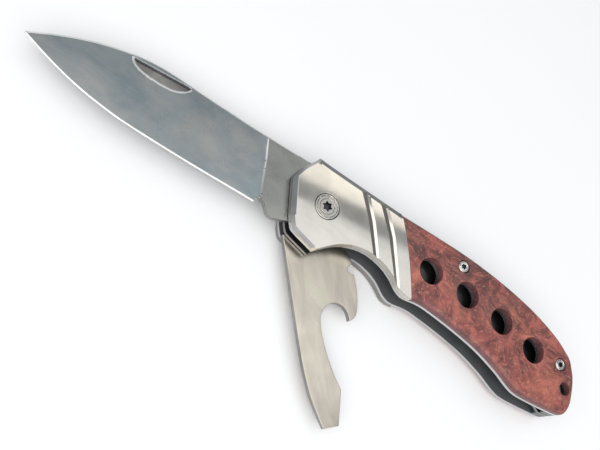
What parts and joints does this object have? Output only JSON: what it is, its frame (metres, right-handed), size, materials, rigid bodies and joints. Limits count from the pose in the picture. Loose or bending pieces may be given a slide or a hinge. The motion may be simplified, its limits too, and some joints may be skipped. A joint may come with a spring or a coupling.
{
  "type": "folding pocket knife",
  "caption": "Folding pocket knife with a drop-point blade and a bottle opener with a driver tip, in separate layers on one pivot, wood scales and steel bolsters.",
  "frame": {"origin": "on the pivot axis, on the outer face of the pivot barrel's rear head, which is the plane that the knife lies on", "axes": "+X along the handle from the pivot towards the butt, +Y towards the spine, +Z out of the front face, across the thickness"},
  "size_m": [0.1783, 0.0631, 0.0127],
  "materials": {
    "wood": "stained and laminated burl, satin polished",
    "bolster_steel": "polished stainless steel",
    "liner_steel": "ground stainless steel",
    "blade_steel": "satin ground stainless steel",
    "tool_steel": "satin stainless steel",
    "spring_steel": "polished spring steel",
    "screw_steel": "turned stainless steel",
    "bronze": "rolled phosphor bronze"
  },
  "bodies": {
    "handle": {"front_scale": "wood", "rear_scale": "wood", "front_bolster": "bolster_steel", "rear_bolster": "bolster_steel", "front_liner": "liner_steel", "centre_liner": "liner_steel", "rear_liner": "liner_steel", "blade_back_spring": "spring_steel", "tool_back_spring": "spring_steel", "pivot_barrel": "screw_steel", "pivot_screw": "screw_steel", "fore_pillar": "screw_steel", "aft_pillar": "screw_steel", "front_fore_screw": "screw_steel", "front_aft_screw": "screw_steel", "rear_fore_screw": "screw_steel", "rear_aft_screw": "screw_steel", "blade_washer_front": "bronze", "blade_washer_rear": "bronze", "tool_washer_front": "bronze", "tool_washer_rear": "bronze"},
    "blade": {"main_blade": "blade_steel"},
    "tool": {"bottle_opener": "tool_steel"}
  },
  "joints": [
    {"name": "blade_fold", "type": "hinge", "parent": "handle", "child": "blade", "pos_m": [0, 0, 0.00805], "axis": [0, 0, 1], "range_deg": [0, 174]},
    {"name": "tool_fold", "type": "hinge", "parent": "handle", "child": "tool", "pos_m": [0, 0, 0.0046], "axis": [0, 0, 1], "range_deg": [-125, 52]}
  ]
}
